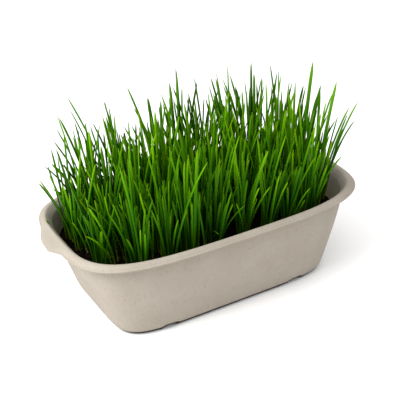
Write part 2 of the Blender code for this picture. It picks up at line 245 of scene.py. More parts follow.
# Painted shadow: the rim's shadow, as a darker band on the outer wall just under the rim.
BAND_PAINTED_SHADOW = (0.9, 0.88, 0.86)
BAND_FROM = 3.3 * MM
BAND_FADE = 20 * MM
# Painted shade: the tray's lower edge, underside and the channels' notches are coloured dark for the shade
# under the tray.
FOOT_PAINTED_SHADE = (0.1, 0.075, 0.055)
FOOT_LEVEL = 3.9 * MM
FOOT_EDGE = 0.1 * MM
NOTCH_LEVEL = CHANNEL_HEIGHT + 1.0 * MM
NOTCH_BETWEEN = (4.5 * MM, 8.5 * MM)


def fibre_material():
    """Pale pressed fibre with flecks, with painted light on it: green bounce light inside, the rim's shadow
    under the rim, and shade at its foot and in its notches.
    """
    made, shader = shader_nodes("moulded fibre", 0.82, Specular_IOR_Level=0.25)
    tree = made.node_tree
    place = node(tree, "TexCoord")
    spots = node(
        tree, "TexNoise", {"Vector": place.outputs["Object"]}, Scale=38.0, Detail=5.0, Roughness=0.62)
    colour = ramp(tree, spots.outputs["Fac"], (
        (0.25, (0.308, 0.271, 0.224)), (0.5, (0.330, 0.292, 0.245)), (0.75, (0.353, 0.316, 0.270)),
    ))
    stretched = node(tree, "Mapping", {"Vector": place.outputs["Object"]})
    stretched.inputs["Scale"].default_value = (1.0, 1.0, 0.35)
    flecks = node(
        tree, "TexNoise", {"Vector": stretched.outputs[0]}, Scale=900.0, Detail=2.0, Distortion=1.2)
    fleck_shade = ramp(tree, flecks.outputs["Fac"], (
        (0.28, (0.80, 0.77, 0.72)), (0.42, (1.0, 1.0, 1.0)),
        (0.66, (1.0, 1.0, 1.0)), (0.8, (1.06, 1.06, 1.05)),
    ))
    colour = blend_colours(tree, "MULTIPLY", 0.8, colour, fleck_shade)
    painted_light = node(tree, "Attribute", attribute_name="painted_light")
    parts = node(tree, "SeparateColor", {"Color": painted_light.outputs["Color"]})
    # These three blends paint light into the fibre: bounce light inside, the rim's shadow, and the shade at the
    # foot and notches.
    colour = blend_colours(tree, "MULTIPLY", parts.outputs["Red"], colour, INSIDE_PAINTED_BOUNCE)
    colour = blend_colours(tree, "MULTIPLY", parts.outputs["Green"], colour, BAND_PAINTED_SHADOW)
    colour = blend_colours(tree, "MULTIPLY", foot_share(tree, place.outputs["Object"]), colour, FOOT_PAINTED_SHADE)
    tree.links.new(colour, shader.inputs["Base Color"])
    fine = node(tree, "Bump", {"Height": flecks.outputs["Fac"]}, Strength=0.35, Distance=0.0005)
    coarse = node(tree, "TexNoise", {"Vector": place.outputs["Object"]}, Scale=120.0, Detail=4.0)
    both = node(
        tree, "Bump", {"Height": coarse.outputs["Fac"], "Normal": fine.outputs[0]},
        Strength=0.3, Distance=0.0009)
    tree.links.new(both.outputs[0], shader.inputs["Normal"])
    return made


def foot_share(tree, place):
    """Where the foot's painted shade falls: 1 below the foot's level, which rises at each channel's notch, and
    0 above it.
    """
    axes = node(tree, "SeparateXYZ", {"Vector": place})
    from_middle = node(tree, "Math", {0: axes.outputs["X"]}, operation="ABSOLUTE")
    from_channel = node(tree, "Math", {0: from_middle.outputs[0]}, operation="SUBTRACT")
    from_channel.inputs[1].default_value = CHANNEL_X
    beside = node(tree, "Math", {0: from_channel.outputs[0]}, operation="ABSOLUTE")
    near, far = NOTCH_BETWEEN
    level = node(
        tree, "MapRange", {"Value": beside.outputs[0]},
        From_Min=near, From_Max=far, To_Min=NOTCH_LEVEL, To_Max=FOOT_LEVEL)
    above = node(tree, "Math", {0: axes.outputs["Z"], 1: level.outputs[0]}, operation="SUBTRACT")
    share = node(tree, "MapRange", {"Value": above.outputs[0]}, From_Min=FOOT_EDGE, From_Max=-FOOT_EDGE)
    return share.outputs[0]


def husk_material():
    made, shader = shader_nodes("seed husk", 0.7)
    tree = made.node_tree
    streaks = node(tree, "TexNoise", Scale=500.0, Detail=3.0)
    brown = ((0.35, (0.02, 0.012, 0.006)), (0.65, (0.07, 0.042, 0.02)))
    colour = ramp(tree, streaks.outputs["Fac"], brown)
    tree.links.new(colour, shader.inputs["Base Color"])
    return made


# Meshes

def add_mesh(name, verts, faces, material, smooth=True):
    mesh = bpy.data.meshes.new(name)
    mesh.from_pydata([tuple(v) for v in verts], [], faces)
    mesh.materials.append(material)
    if smooth:
        mesh.shade_smooth()
    made = bpy.data.objects.new(name, mesh)
    bpy.context.scene.collection.objects.link(made)
    return made


def outward(obj):
    mesh = bmesh.new()
    mesh.from_mesh(obj.data)
    bmesh.ops.recalc_face_normals(mesh, faces=mesh.faces)
    mesh.to_mesh(obj.data)
    mesh.free()


def dress(piece, slot, *nodes):
    """Hangs the piece on the root body and hides the imported parts that it stands in for; the slot is not
    used.
    """
    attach(piece, "root")
    if nodes:
        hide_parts(*nodes)


# Tray

AROUND = 240
WALL_HEIGHTS = (12, 18, 25, 32, 40, 48, 56, 63, 68, 70.6)
# The rim's section from the inside over the top to the underside: outwards and down from its crest, in mm.
RIM_CURVE = (
    (-3.5, 5.1), (-2.6, 3.9), (-1.75, 2.7), (-0.9, 1.7), (-0.2, 0.9), (0.5, 0.35), (1.3, 0.05),
    (2.1, 0.02), (2.9, 0.2), (3.8, 0.42), (4.7, 0.85), (5.5, 1.4), (6.1, 2.0), (6.6, 2.6),
    (7.1, 2.85), (7.7, 2.9), (8.15, 3.1), (8.35, 3.5), (8.3, 4.0), (8.0, 4.4), (7.4, 4.6),
    (6.6, 4.6), (5.6, 4.25), (4.4, 3.7), (3.0, 3.5), (1.6, 3.7), (0.2, 4.6),
)
# The lower edge's rounding: height and inset of the wall's last rings, then of the base's first, in mm.
WALL_EDGE = ((7.5, 0.0), (5.2, 0.12), (3.8, 0.45))
BASE_EDGE = ((2.9, 0.6), (2.4, 1.3))
CLOSING_SHARES = (0.25, 0.6)
BAR_STEPS = 5
BAR_EASE = 1.2 * MM
BAR_FLARE = 0.3 * MM
WARP = 0.35 * MM
WARP_FULL_AT = 30 * MM
SHARP_ANGLE = 40


def superellipse(half, exponent, count=AROUND):
    turns = [math.tau * (k + 0.5) / count for k in range(count)]

    def side(value, size):
        return math.copysign(size * abs(value) ** (2 / exponent), value)
    return [(side(math.cos(a), half[0]), side(math.sin(a), half[1])) for a in turns]


def wall_plan(z, out=0.0):
    """Half sizes and exponent of the wall's inner face at height z, moved out by this much."""
    share = min(1.0, max(0.0, (z - EDGE_LIFT) / (TRAY_HEIGHT - WALL_TOP_DROP - EDGE_LIFT)))
    half = [
        b - WALL_THICKNESS + (r - b + WALL_THICKNESS) * share + out for b, r in zip(BASE_HALF, WALL_TOP_HALF)]
    return half, BASE_EXPONENT + (RIM_EXPONENT - BASE_EXPONENT) * share


def plan_share(x, y, plan):
    """How far out this place lies in a superellipse's plan: 1 on its curve, less within."""
    half, exponent = plan
    return (abs(x) / half[0]) ** exponent + (abs(y) / half[1]) ** exponent


def wall_ring(z, out=0.0):
    return [(x, y, z) for x, y in superellipse(*wall_plan(z, out))]


def base_ring(inset, z):
    return [(x, y, z) for x, y in superellipse([b - inset for b in BASE_HALF], BASE_EXPONENT)]


def tab_share(y):
    """How much of the grip tab's reach the rim has at y: all of it on the tab's flat, none past its foot."""
    side = int(y > 0)
    t = (TAB_FOOT[side] - y) / (TAB_FOOT[side] - TAB_FLAT[side])
    t = min(1.0, max(0.0, t))
    return t * t * (3 - 2 * t)


def rim_ring(offset, drop):
    """One ring of the rim, this many mm outwards and down from its crest."""
    ring = []
    share = min(1.0, max(0.0, (offset - TAB_FROM + TAB_BLEND) / TAB_BLEND))
    half = (RIM_HALF[0] + offset * MM, RIM_HALF[1] + offset * LONG_SIDE_SHARE * MM)
    for x, y in superellipse(half, RIM_EXPONENT):
        if x < 0:
            width = np.interp(y, TAB_END_BETWEEN, TAB_END_SHARES)
            narrowed = (1 - width) * max(0.0, offset) * MM * min(1.0, (x / RIM_HALF[0]) ** 4)
            x += narrowed - TAB_REACH * tab_share(y) * share
        ring.append((x, y, TRAY_HEIGHT - drop * MM))
    return ring


def loft(name, rings, material):
    """A closed solid through these rings, its ends closed by rings that shrink to the middle."""
    def shrunk(ring, share):
        return [(x * share, y * share, z) for x, y, z in ring]
    first = [shrunk(rings[0], share) for share in CLOSING_SHARES]
    last = [shrunk(rings[-1], share) for share in reversed(CLOSING_SHARES)]
    rings = first + rings + last
    count = len(rings[0])
    verts = [p for ring in rings for p in ring]
    faces = []
    for k in range(len(rings) - 1):
        for i in range(count):
            j = (i + 1) % count
            faces.append((k * count + i, k * count + j, (k + 1) * count + j, (k + 1) * count + i))
    for first in (0, (len(rings) - 1) * count):
        centre = len(verts)
        verts.append((0.0, 0.0, verts[first][2]))
        faces += [(first + i, first + (i + 1) % count, centre) for i in range(count)]
    made = add_mesh(name, verts, faces, material)
    outward(made)
    return made


def cross_bar(x, widths, z_low, z_high, half_length, material):
    """A bar across the tray with sloping sides and eased upper edges."""
    foot, top = (w / 2 for w in widths)
    section = [(x - foot, z_low), (x + foot, z_low)]
    for side in (1, -1):
        steps = range(BAR_STEPS + 1)
        for k in steps if side > 0 else reversed(steps):
            a = math.pi / 2 * k / BAR_STEPS
            flare = BAR_FLARE * (1 - k / BAR_STEPS)
            across = x + side * (top - BAR_EASE + BAR_EASE * math.cos(a) + flare)
            section.append((across, z_high - BAR_EASE + BAR_EASE * math.sin(a)))
    verts = [(px, y, pz) for y in (-half_length, half_length) for px, pz in section]
    n = len(section)
    faces = [tuple(range(n)), tuple(range(2 * n - 1, n - 1, -1))]
    faces += [(i, i + n, (i + 1) % n + n, (i + 1) % n) for i in range(n)]
    made = add_mesh("bar", verts, faces, material)
    outward(made)
    return made


def boolean(obj, operation, other):
    """Joins or cuts this object's mesh with the other, which is then removed."""
    modifier = obj.modifiers.new("cut", "BOOLEAN")
    modifier.operation = operation
    modifier.solver = "EXACT"
    modifier.object = other
    bpy.context.view_layer.update()
    graph = bpy.context.evaluated_depsgraph_get()
    result = bpy.data.meshes.new_from_object(obj.evaluated_get(graph))
    obj.modifiers.clear()
    obj.data = result
    bpy.data.objects.remove(other, do_unlink=True)


def make_tray():
    fibre = fibre_material()
    inside = [base_ring(WALL_THICKNESS + FLOOR_RADIUS, FLOOR_THICKNESS)]
    for k in range(1, 6):
        a = math.pi / 2 * k / 5
        z = FLOOR_THICKNESS + FLOOR_RADIUS * (1 - math.cos(a))
        inside.append(wall_ring(z, -FLOOR_RADIUS * (1 - math.sin(a))))
    inside += [wall_ring(z * MM) for z in WALL_HEIGHTS]
    rim = [rim_ring(offset, drop) for offset, drop in RIM_CURVE]
    outside = [wall_ring(z * MM, WALL_THICKNESS) for z in reversed(WALL_HEIGHTS)]
    outside += [wall_ring(z * MM, WALL_THICKNESS - inset * MM) for z, inset in WALL_EDGE]
    outside += [base_ring(inset * MM, z * MM) for z, inset in BASE_EDGE]
    outside += [
        base_ring(1.9 * MM, EDGE_LIFT), base_ring(UNDERSIDE_INSET, EDGE_LIFT - 0.1 * MM),
        base_ring(UNDERSIDE_INSET + 0.3 * MM, 0.3 * MM), base_ring(UNDERSIDE_INSET + 0.9 * MM, 0.0),
    ]
    tray = loft("fibre_tray", inside + rim + outside, fibre)
    rib_widths = [w + 2 * CHANNEL_ROOF for w in CHANNEL_WIDTHS]
    rib_top = CHANNEL_HEIGHT + CHANNEL_ROOF
    rib_half = BASE_HALF[1] - RIB_INSET
    past_wall = BASE_HALF[1] + 9 * MM
    for x in (-CHANNEL_X, CHANNEL_X):
        rib = cross_bar(x, rib_widths, EDGE_LIFT + 0.1 * MM, rib_top, rib_half, fibre)
        boolean(tray, "UNION", rib)
        cutter = cross_bar(x, CHANNEL_WIDTHS, -2 * MM, CHANNEL_HEIGHT, past_wall, fibre)
        boolean(tray, "DIFFERENCE", cutter)
    paint_light_on_fibre(tray)
    warp(tray)
    tray.data.shade_smooth()
    tray.data.set_sharp_from_angle(angle=math.radians(SHARP_ANGLE))
    dress(tray, "fibre", "tray")


def paint_light_on_fibre(tray):
    """Marks for the fibre's painted light: green light bounced from the leaves inside the wall, stronger lower
    down, and the rim's shadow as a band under the rim.
    """
    layer = tray.data.color_attributes.new("painted_light", "FLOAT_COLOR", "POINT")
    marks = []
    for vertex in tray.data.vertices:
        x, y, z = vertex.co
        within = plan_share(x, y, wall_plan(z, WALL_THICKNESS / 2)) < 1
        bounce = min(1.0, max(0.0, (TRAY_HEIGHT - BOUNCE_FROM - z) / BOUNCE_FADE))
        if not within or z <= FLOOR_THICKNESS / 2:
            bounce = 0.0
        under = TRAY_HEIGHT - BAND_FROM - z
        band = 0.0 if within or under < 0 else max(0.0, 1 - under / BAND_FADE)
        marks += (bounce, band, 0.0, 1.0)
    layer.data.foreach_set("color", marks)


def warp(tray):
    """Pressed fibre isn't dead true: its walls wander a little, more so towards the rim."""
    for vertex in tray.data.vertices:
        x, y, z = vertex.co
        amount = WARP * min(1.0, z / WARP_FULL_AT)
        vertex.co.x += amount * noise.noise(Vector((x * 18, y * 18, z * 22)))
        vertex.co.y += amount * noise.noise(Vector((x * 18 + 9, y * 18, z * 22)))
        vertex.co.z += 0.5 * amount * noise.noise(Vector((x * 14, y * 14 + 5, z * 10)))


# Soil

SOIL_RINGS = 70
SOIL_CLOSED = 0.97
SOIL_MIDDLE_EXPONENT = 2.4
CRUMBS = 1500
CRUMB_REACH = (116, 64)
CRUMB_MARGIN = 2.5 * MM
CRUMB_SIZE = 2.6 * MM
GOLDEN_RATIO = (1 + math.sqrt(5)) / 2
LUMP_POINTS = (
    (-1, GOLDEN_RATIO, 0), (1, GOLDEN_RATIO, 0), (-1, -GOLDEN_RATIO, 0), (1, -GOLDEN_RATIO, 0),
    (0, -1, GOLDEN_RATIO), (0, 1, GOLDEN_RATIO), (0, -1, -GOLDEN_RATIO), (0, 1, -GOLDEN_RATIO),
    (GOLDEN_RATIO, 0, -1), (GOLDEN_RATIO, 0, 1), (-GOLDEN_RATIO, 0, -1), (-GOLDEN_RATIO, 0, 1),
)
LUMP_FACES = (
    (0, 11, 5), (0, 5, 1), (0, 1, 7), (0, 7, 10), (0, 10, 11), (1, 5, 9), (5, 11, 4), (11, 10, 2),
    (10, 7, 6), (7, 1, 8), (3, 9, 4), (3, 4, 2), (3, 2, 6), (3, 6, 8), (3, 8, 9), (4, 9, 5),
    (2, 4, 11), (6, 2, 10), (8, 6, 7), (9, 8, 1),
)
LUMP_RADIUS = 1.9


def soil_height(x, y):
    u, v = x / MM, y / MM
    waves = math.sin(u * 0.11 + 0.7) * math.cos(v * 0.16) + 0.6 * math.sin(u * 0.31 - v * 0.27)
    return SOIL_TOP + 0.9 * MM * waves + 0.5 * MM * math.sin(u * 0.83 + v * 0.71)


def crumbly_height(x, y):
    """The soil's top with its crumbs: small lumps on the solids' own waves."""
    lumps = noise.fractal(Vector((x * 130, y * 130, 0.3)), 0.9, 2.1, 5)
    cells = noise.voronoi(Vector((x * 210, y * 210, 1.7)))[0][0]
    return soil_height(x, y) + 1.1 * MM * lumps + 0.9 * MM * (0.35 - cells)


def make_soil():
    half, exponent = wall_plan(SOIL_TOP, -SOIL_INSET)
    foot = superellipse([b - 11 * MM for b in BASE_HALF], 5)
    rings = [[(x, y, FLOOR_THICKNESS + SOIL_GAP + 1 * MM) for x, y in foot]]
    rings += [wall_ring(z, -SOIL_INSET) for z in (12 * MM, 48 * MM)]
    for k in range(SOIL_RINGS):
        share = 1.0 - SOIL_CLOSED * k / (SOIL_RINGS - 1)
        rounder = exponent + (SOIL_MIDDLE_EXPONENT - exponent) * (1 - share) ** 2
        plan = superellipse([h * share for h in half], rounder)
        rings.append([(x, y, crumbly_height(x, y)) for x, y in plan])
    soil = loft("soil_block", rings, soil_material())
    dress(soil, "soil", "soil")


def add_lump(draw, centre, size, verts, faces):
    """Adds one rough crumb: an icosahedron pushed out of true."""
    start = len(verts)
    stretch = [draw.uniform(0.6, 1.25) * size / LUMP_RADIUS for _ in range(3)]
    turn = draw.uniform(0, math.tau)
    for x, y, z in LUMP_POINTS:
        grow = draw.uniform(0.78, 1.2)
        x, y, z = x * stretch[0] * grow, y * stretch[1] * grow, z * stretch[2] * grow * 0.8
        verts.append((centre[0] + x * math.cos(turn) - y * math.sin(turn),
                      centre[1] + x * math.sin(turn) + y * math.cos(turn), centre[2] + z))
    faces += [tuple(start + i for i in tri) for tri in LUMP_FACES]


def inside_soil(x, y, margin):
    """Whether this place lies over the soil, at least this far from its edge."""
    return plan_share(x, y, wall_plan(SOIL_TOP, -SOIL_GAP - margin)) < 1


def make_crumbs():
    """Loose crumbs of soil on the soil's top."""
    draw = random.Random(SEED + 5)
    verts, faces = [], []
    for _ in range(CRUMBS):
        x, y = [draw.uniform(-reach, reach) * MM for reach in CRUMB_REACH]
        if not inside_soil(x, y, CRUMB_MARGIN):
            continue
        size = draw.uniform(0.5, 1.0) ** 2 * CRUMB_SIZE
        add_lump(draw, (x, y, crumbly_height(x, y) + size * 0.12), size, verts, faces)
    crumbs = add_mesh("soil_crumbs", verts, faces, soil_material(), smooth=False)
    dress(crumbs, "soil")


# Grass

def tuft_centres():
    draw = random.Random(SEED)
    centres = []
    for y, count in zip(TUFT_ROWS, TUFTS_IN_ROW):
        pull = 1 - (1 - ROW_END_PULL) * (abs(y) / max(TUFT_ROWS)) ** 3
        for k in range(count):
            x = (k - (count - 1) / 2) * TUFT_SPACING * pull
            jitter = [draw.uniform(-most, most) for most in TUFT_JITTER]
            centres.append((x + jitter[0], y * MM + jitter[1]))
    return centres


def low_end(x):
    """The share of their length that blades rooted at x have."""
    return LOW_END_SHARE + (1 - LOW_END_SHARE) * min(1.0, (x + RIM_HALF[0]) / LOW_END_REACH)


class Leaf:
    """One leaf: where it roots, how it leans and bends, its length, width and turn."""

    standout = False

    def __init__(self, root, lean, bend, length, width, facing, twist):
        self.root, self.lean, self.bend = root, lean, bend
        self.length, self.width, self.facing, self.twist = length, width, facing, twist

    def centre(self, s):
        slope = self.lean + self.bend * s
        rise = math.sqrt(max(0.1, 1 - slope.length_squared))
        return self.root + Vector((slope.x, slope.y, rise)) * (self.length * s)

    def width_way(self, s):
        angle = self.facing + self.twist * max(0.0, s - BLADE_STATIONS[1])
        return Vector((math.cos(angle), math.sin(angle), 0))


class Blade(Leaf):
    """One leaf of the solids, with the draws that they make for it in the same order."""

    def __init__(self, draw, x, y, top, short, standout=None):
        self.standout = standout is not None
        share = draw.random()
        length_share = LENGTH_SHARES[0] + (LENGTH_SHARES[1] - LENGTH_SHARES[0]) * share
        length = BLADE_LENGTH * length_share * low_end(x) * (SHORTENED if short else 1)
        stray = STRAYS[0] + (STRAYS[1] - STRAYS[0]) * share
        spread = Vector((x / RIM_HALF[0] * SPLAY[0] + DRIFT, y / RIM_HALF[1] * SPLAY[1]))
        lean = spread + Vector((draw.triangular(-stray, stray), draw.triangular(-stray, stray)))
        curl = Vector((draw.triangular(-CURL, CURL), draw.triangular(-CURL, CURL)))
        width = draw.uniform(BLADE_NARROWEST, BLADE_WIDEST)
        if standout:
            *slope, length, width = standout
            lean, curl = Vector(slope), Vector((0, 0))
        super().__init__(
            Vector((x, y, top - BLADE_ROOT)), lean * ROOT_SHARE, lean * (1 - ROOT_SHARE) + curl, length, width,
            draw.uniform(0, math.pi), draw.uniform(-MOST_TWIST, MOST_TWIST))

    def half_width(self, s):
        return float(np.interp(s, (*BLADE_STATIONS, 1.0), (*BLADE_WIDTHS, 0.0))) * self.width / 2

    def slices(self, heights):
        """Where the solid's blade is at these heights: a point near each edge and one in its middle."""
        shares = (*BLADE_STATIONS, 1.0)
        centres = np.array([self.centre(s) for s in shares])
        reach = np.array([self.width_way(s) * self.half_width(s) for s in shares])
        found = np.full((len(heights), 3, 2), np.nan)
        inside = heights <= centres[-1, 2]
        for k, side in enumerate(SLICE_SIDES):
            line = centres + reach * side
            for axis in (0, 1):
                found[inside, k, axis] = np.interp(heights[inside], centres[:, 2], line[:, axis])
        return found


def inside_tray(points, heights):
    """Whether a blade keeps clear of the wall as far up as the rim."""
    for z, across in zip(heights, points):
        if z > TRAY_HEIGHT + 3 * MM or np.isnan(across[0, 0]):
            break
        half, exponent = wall_plan(z, -BLADE_FROM_WALL)
        share = (np.abs(across[:, 0]) / half[0]) ** exponent + (np.abs(across[:, 1]) / half[1]) ** exponent
        if share.max() > 1:
            return False
    return True


def clear_of(points, width, standing, widths):
    """Whether a blade of this width keeps clear of those that stand already."""
    high = int(np.isfinite(points[:, 1, 0]).sum())
    near = ((standing[:, 0, 1] - points[0, 1]) ** 2).sum(-1) < NEIGHBOURS**2
    others, widths = standing[near, :high], widths[near]
    middles = ((others[:, :, 1] - points[:high, 1]) ** 2).sum(-1)
    if (middles < BLADE_CLEARANCE**2).any():
        return False
    close = (middles < (3 * BLADE_WIDEST) ** 2).any(axis=1)
    gaps = ((others[close][:, :, :, None] - points[None, :high, None, :]) ** 2).sum(-1)
    need = (widths[close] + width) * WIDTH_SHARE + BLADE_CLEARANCE
    return not (gaps < need[:, None, None, None] ** 2).any()


def grow_blades(tufts):
    """The same draws in the same order as the solids', so each leaf stands where its solid does."""
    draw = random.Random(SEED + 1)
    heights = np.arange(SOIL_TOP + 2.5 * MM, SOIL_TOP + TALLEST, SLICE_STEP)
    standing = np.full((BLADES_PER_TUFT * len(tufts), len(heights), 3, 2), np.nan)
    widths = np.zeros(len(standing))
    count = 0
    blades = [[] for _ in tufts]
    standouts_first = sorted(range(len(tufts)), key=lambda tuft: tuft + 1 not in STANDOUT)
    for turn in range(BLADES_PER_TUFT):
        for tuft in standouts_first:
            x, y = tufts[tuft]
            standout = STANDOUT.get(tuft + 1) if turn == 0 else None
            angle = turn * GOLDEN_ANGLE + tuft
            radius = BLADE_SPREAD * math.sqrt((turn + 0.5) / BLADES_PER_TUFT)
            root = (x + radius * math.cos(angle), y + radius * math.sin(angle))
            for attempt in range(MOST_TRIES):
                short = attempt > MOST_TRIES / 2
                blade = Blade(draw, *root, soil_height(x, y) + CROWN_RISE, short, standout)
                points = blade.slices(heights)
                stand = (standing[:count], widths[:count])
                if inside_tray(points, heights) and clear_of(points, blade.width, *stand):
                    standing[count], widths[count] = points, blade.width
                    count += 1
                    blades[tuft].append(blade)
                    break
    return blades


ACROSS = (-1.0, -0.55, 0.0, 0.55, 1.0)
LEAF_STEPS = (
    0.0, 0.06, 0.14, 0.24, 0.34, 0.44, 0.54, 0.64, 0.73, 0.8, 0.85, 0.895, 0.93, 0.96, 0.985, 1.0,
)
SHEATH_END = 0.3
TIP_START = 0.84
TIP_FULLNESS = 3.2
SHEATH_WIDTH = 0.45
FULL_WIDTH = 0.95
SHOULDER_WIDTH = 0.88
TIP_WIDTH = 0.14
LEAF_THICKNESS = 0.28 * MM
FOLD_NARROWS_FROM = 0.8
LEAF_SCALES = (0.62, 0.95)
MOST_REACH = (133 * MM, 71.5 * MM)
LEAF_FROM_WALL = 1.5 * MM

# Younger leaves: the chance of one beside a leaf, and the same at the thin end. Lengths and widths are
# shares of that leaf's.
THIN_END = -60 * MM
YOUNGER_CHANCES = (0.5, 0.3)
YOUNGER_ASIDE = 1.3 * MM
YOUNGER_LEAN = (0.02, 0.09)
YOUNGER_LENGTHS = (0.6, 0.98)
YOUNGER_WIDTHS = (0.45, 0.75)

# Late shoots: how far from their tuft and how wide, in mm; lengths as shares of a blade's.
SHOOTS_BY_TUFT = 5
SHOOT_ASIDE = (4, 13)
SHOOT_WIDTHS = (1.5, 2.1)
SHOOT_LENGTHS = (0.65, 1.15)
SHOOT_SPLAY = 0.3
SHOOT_STRAY = 0.22
SHOOT_CURL = 0.12
NEAR_END_FAN = 0.2
FAN_REACH = 25 * MM
BENT_CHANCE = 0.12
BENT_LENGTHS = (0.3, 0.55)
BENT_CURL = 0.75


def leaf_width(s):
    """A leaf's width as a share of its widest: a narrow sheath, an even blade, a point over its last sixth."""
    if s < SHEATH_END:
        t = s / SHEATH_END
        return SHEATH_WIDTH + (FULL_WIDTH - SHEATH_WIDTH) * t * t * (3 - 2 * t)
    if s < TIP_START:
        return FULL_WIDTH - (FULL_WIDTH - SHOULDER_WIDTH) * (s - SHEATH_END) / (TIP_START - SHEATH_END)
    t = (s - TIP_START) / (1 - TIP_START)
    return (SHOULDER_WIDTH - TIP_WIDTH) * (1 - t ** TIP_FULLNESS) + TIP_WIDTH


class Leaves:
    """Gathers leaves into one mesh. Each point's tone holds the leaf's own tone, which also paints lit and
    shaded leaves, and its place along and across.
    """

    def __init__(self):
        self.verts, self.faces, self.tones = [], [], []

    def add(self, leaf, pick, scale=1.0):
        start = len(self.verts)
        for s in LEAF_STEPS:
            centre, way = leaf.centre(s), leaf.width_way(s)
            back = Vector((-way.y, way.x, 0))
            half = leaf.width / 2 * leaf_width(s) * scale
            fold = BLADE_KEEL * (1.0 if s < FOLD_NARROWS_FROM else leaf_width(s) / SHOULDER_WIDTH) * scale
            thick = LEAF_THICKNESS * (1.5 - 0.8 * s)
            for face in (1, -1):
                for u in ACROSS[::face]:
                    depth = fold * (1 - abs(u) ** 1.4)
                    edge = thick * (1 - 0.7 * abs(u)) * face / 2
                    self.verts.append(centre + way * (half * u) + back * (depth + edge))
                    self.tones.append((pick, s, (u + 1) / 2, 1.0))
        ring = 2 * len(ACROSS)
        for k in range(len(LEAF_STEPS) - 1):
            low, high = start + k * ring, start + (k + 1) * ring
            for i in range(ring):
                j = (i + 1) % ring
                self.faces.append((low + i, low + j, high + j, high + i))
        self.faces.append(tuple(range(start, start + ring))[::-1])
        top = start + (len(LEAF_STEPS) - 1) * ring
        self.faces.append(tuple(range(top, top + ring)))

    def make(self, name, material):
        made = add_mesh(name, self.verts, self.faces, material)
        layer = made.data.color_attributes.new("tone", "FLOAT_COLOR", "POINT")
        layer.data.foreach_set("color", [v for tone in self.tones for v in tone])
        outward(made)
        return made


def clears_wall(leaf):
    """Whether a leaf stays inside the tray as long as it is lower than the rim, and near it further up."""
    if any(abs(tip) > most for tip, most in zip(leaf.centre(1), MOST_REACH)):
        return False
    for s in LEAF_STEPS:
        x, y, z = leaf.centre(s)
        outside = plan_share(x, y, wall_plan(min(z, TRAY_HEIGHT), -LEAF_FROM_WALL)) > 1
        if outside and z < TRAY_HEIGHT + LEAF_FROM_WALL:
            return False
    return True


def younger(draw, blade):
    """A shorter leaf that grows from the same sheath as this one."""
    angle = draw.uniform(0, math.tau)
    root = blade.root + Vector((math.cos(angle), math.sin(angle), 0)) * YOUNGER_ASIDE
    lean = blade.lean + Vector((math.cos(angle), math.sin(angle))) * draw.uniform(*YOUNGER_LEAN)
    bend = blade.bend * 0.6 + Vector((draw.uniform(-0.1, 0.1), draw.uniform(-0.1, 0.1)))
    length = blade.length * draw.uniform(*YOUNGER_LENGTHS)
    width = blade.width * draw.uniform(*YOUNGER_WIDTHS)
    return Leaf(root, lean, bend, length, width, draw.uniform(0, math.pi), draw.uniform(-1, 1))


def late_shoot(draw, tuft):
    """A thin leaf that comes up through the soil beside a tuft, or nothing where it would cross the wall."""
    angle, reach = draw.uniform(0, math.tau), draw.uniform(*SHOOT_ASIDE) * MM
    x, y = tuft[0] + reach * math.cos(angle), tuft[1] + reach * math.sin(angle)
    root = Vector((x, y, soil_height(x, y) - 2 * MM))
    fan = NEAR_END_FAN * min(1.0, max(0.0, (THIN_END - x) / FAN_REACH))
    outwards = SHOOT_SPLAY * (x / RIM_HALF[0]) ** 3 - fan
    spread = Vector((outwards + DRIFT, y / RIM_HALF[1] * SPLAY[1]))
    lean = spread + Vector([draw.triangular(-SHOOT_STRAY, SHOOT_STRAY) for _ in range(2)])
    bent = draw.random() < BENT_CHANCE
    curl = Vector((draw.uniform(-1, 1), draw.uniform(-1, 1))) * (BENT_CURL if bent else SHOOT_CURL)
    length = BLADE_LENGTH * low_end(x) * draw.uniform(*(BENT_LENGTHS if bent else SHOOT_LENGTHS))
    width = draw.uniform(*SHOOT_WIDTHS) * MM
    leaf = Leaf(
        root, lean * ROOT_SHARE, lean * (1 - ROOT_SHARE) + curl, length, width,
        draw.uniform(0, math.pi), draw.uniform(-1, 1))
    stands = inside_soil(x, y, 3 * MM) and clears_wall(leaf)
    return leaf if stands and abs(leaf.centre(1).x) < RIM_HALF[0] else None


def make_grass():
    """A piece for each tuft: its solids' blades as leaves, with younger leaves and late shoots beside them."""
    material = leaf_material()
    draw = random.Random(SEED + 3)
    tufts = tuft_centres()
    for k, blades in enumerate(grow_blades(tufts)):
        leaves = Leaves()
        chance = YOUNGER_CHANCES[0] if tufts[k][0] > THIN_END else YOUNGER_CHANCES[1]
        for blade in blades:
            pick, scale = draw.random(), draw.uniform(*LEAF_SCALES)
            if blade.standout:
                pick, scale = 0.4 + 0.5 * pick, 1.0
            leaves.add(blade, pick, scale)
            if draw.random() < chance:
                leaf = younger(draw, blade)
                if clears_wall(leaf):
                    leaves.add(leaf, draw.random())
        for _ in range(SHOOTS_BY_TUFT):
            leaf = late_shoot(draw, tufts[k])
            if leaf:
                leaves.add(leaf, draw.random())
        dress(leaves.make(f"leaves_{k + 1:02d}", material), "grass", f"grass_tuft_{k + 1:02d}")


# Each stray leaf: its root in mm, its slope there, the change of slope, length and width in mm, and tone.
STRAY_LEAVES = (
    ((-119.0, 25.0, 60.0), (-0.12, 0.0), (-0.25, 0.0), 21, 1.8, 1.0),
    ((-34.0, -16.0, 84.0), (0.72, -0.42), (0.1, 0.1), 24, 1.5, 0.8),
)
STRAY_FACING = 0.6
STRAY_TWIST = 0.4


def make_stray_leaves():
    """Two small leaves that lie flatter than the rest: one over the rim's end, a thin one across the rows."""
    leaves = Leaves()
    for root, lean, bend, length, width, pick in STRAY_LEAVES:
        place = Vector(root) * MM
        leaf = Leaf(place, Vector(lean), Vector(bend), length * MM, width * MM, STRAY_FACING, STRAY_TWIST)
        leaves.add(leaf, pick)
    dress(leaves.make("stray_leaves", leaf_material()), "grass")


